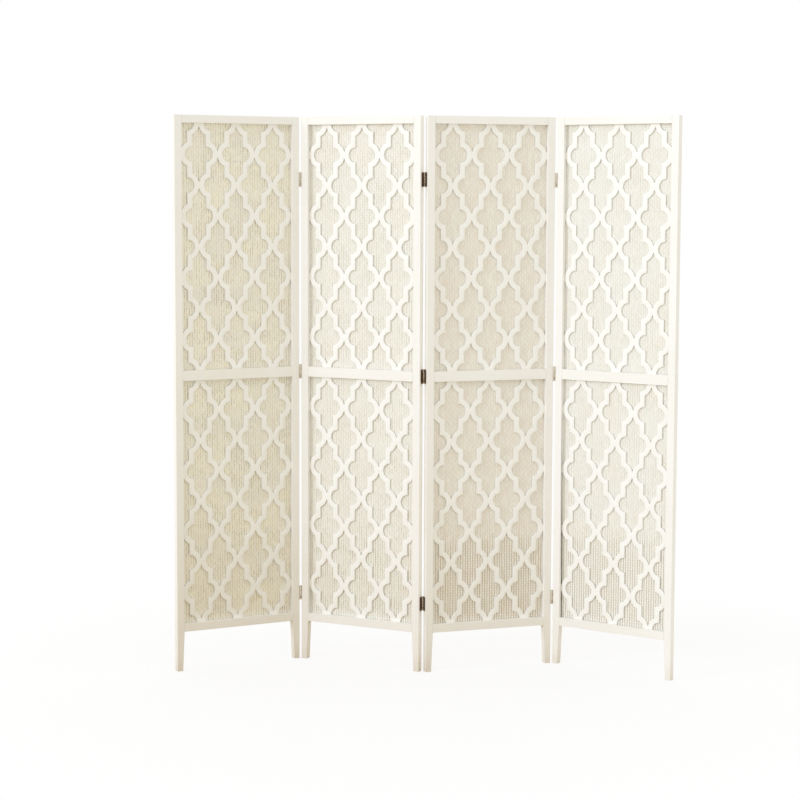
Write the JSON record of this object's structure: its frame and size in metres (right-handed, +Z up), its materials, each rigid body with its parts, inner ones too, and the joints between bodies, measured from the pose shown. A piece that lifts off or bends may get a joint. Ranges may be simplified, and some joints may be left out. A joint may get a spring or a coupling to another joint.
{
  "type": "mashrabiya folding screen",
  "caption": "Free-standing folding room divider: painted wood frames on short legs hold pierced ogee lattice boards over a woven backing, joined by butt hinges so that it stands in a zigzag.",
  "frame": {"origin": "on the floor, at the middle of the space that the standing zigzag takes", "axes": "+Z up along the stiles, +X along the screen from its first panel to its last, -Y towards the viewer of the panels' fronts"},
  "size_m": [1.6126, 0.3344, 1.8],
  "materials": {
    "frame_paint": "wood painted cream white, satin",
    "lattice_paint": "cut board painted cream white, satin",
    "woven_paper": "pale straw woven paper yarn, matt",
    "hinge_bronze": "steel, antique bronze finish, satin"
  },
  "bodies": {
    "panel_1": {"panel_1_left_stile": "frame_paint", "panel_1_right_stile": "frame_paint", "panel_1_top_rail": "frame_paint", "panel_1_middle_rail": "frame_paint", "panel_1_bottom_rail": "frame_paint", "panel_1_upper_lattice": "lattice_paint", "panel_1_lower_lattice": "lattice_paint", "panel_1_woven_back": "woven_paper", "hinge_1_top_leaf_left": "hinge_bronze", "hinge_1_top_pin": "hinge_bronze", "hinge_1_middle_leaf_left": "hinge_bronze", "hinge_1_middle_pin": "hinge_bronze", "hinge_1_bottom_leaf_left": "hinge_bronze", "hinge_1_bottom_pin": "hinge_bronze"},
    "panel_2": {"panel_2_left_stile": "frame_paint", "panel_2_right_stile": "frame_paint", "panel_2_top_rail": "frame_paint", "panel_2_middle_rail": "frame_paint", "panel_2_bottom_rail": "frame_paint", "panel_2_upper_lattice": "lattice_paint", "panel_2_lower_lattice": "lattice_paint", "panel_2_woven_back": "woven_paper", "hinge_1_top_leaf_right": "hinge_bronze", "hinge_1_middle_leaf_right": "hinge_bronze", "hinge_1_bottom_leaf_right": "hinge_bronze", "hinge_2_top_leaf_left": "hinge_bronze", "hinge_2_top_pin": "hinge_bronze", "hinge_2_middle_leaf_left": "hinge_bronze", "hinge_2_middle_pin": "hinge_bronze", "hinge_2_bottom_leaf_left": "hinge_bronze", "hinge_2_bottom_pin": "hinge_bronze"},
    "panel_3": {"panel_3_left_stile": "frame_paint", "panel_3_right_stile": "frame_paint", "panel_3_top_rail": "frame_paint", "panel_3_middle_rail": "frame_paint", "panel_3_bottom_rail": "frame_paint", "panel_3_upper_lattice": "lattice_paint", "panel_3_lower_lattice": "lattice_paint", "panel_3_woven_back": "woven_paper", "hinge_2_top_leaf_right": "hinge_bronze", "hinge_2_middle_leaf_right": "hinge_bronze", "hinge_2_bottom_leaf_right": "hinge_bronze", "hinge_3_top_leaf_left": "hinge_bronze", "hinge_3_top_pin": "hinge_bronze", "hinge_3_middle_leaf_left": "hinge_bronze", "hinge_3_middle_pin": "hinge_bronze", "hinge_3_bottom_leaf_left": "hinge_bronze", "hinge_3_bottom_pin": "hinge_bronze"},
    "panel_4": {"panel_4_left_stile": "frame_paint", "panel_4_right_stile": "frame_paint", "panel_4_top_rail": "frame_paint", "panel_4_middle_rail": "frame_paint", "panel_4_bottom_rail": "frame_paint", "panel_4_upper_lattice": "lattice_paint", "panel_4_lower_lattice": "lattice_paint", "panel_4_woven_back": "woven_paper", "hinge_3_top_leaf_right": "hinge_bronze", "hinge_3_middle_leaf_right": "hinge_bronze", "hinge_3_bottom_leaf_right": "hinge_bronze"}
  },
  "joints": [
    {"name": "fold_1", "type": "hinge", "parent": "panel_2", "child": "panel_1", "pos_m": [-0.40593, 0.14708, 0.9], "axis": [0, 0, 1], "range_deg": [-56, 124]},
    {"name": "fold_2", "type": "hinge", "parent": "panel_2", "child": "panel_3", "pos_m": [0.0008, -0.03534, 0.9], "axis": [0, 0, 1], "range_deg": [-46.5, 133.5]},
    {"name": "fold_3", "type": "hinge", "parent": "panel_3", "child": "panel_4", "pos_m": [0.43002, 0.08496, 0.9], "axis": [0, 0, 1], "range_deg": [-126, 54]}
  ]
}
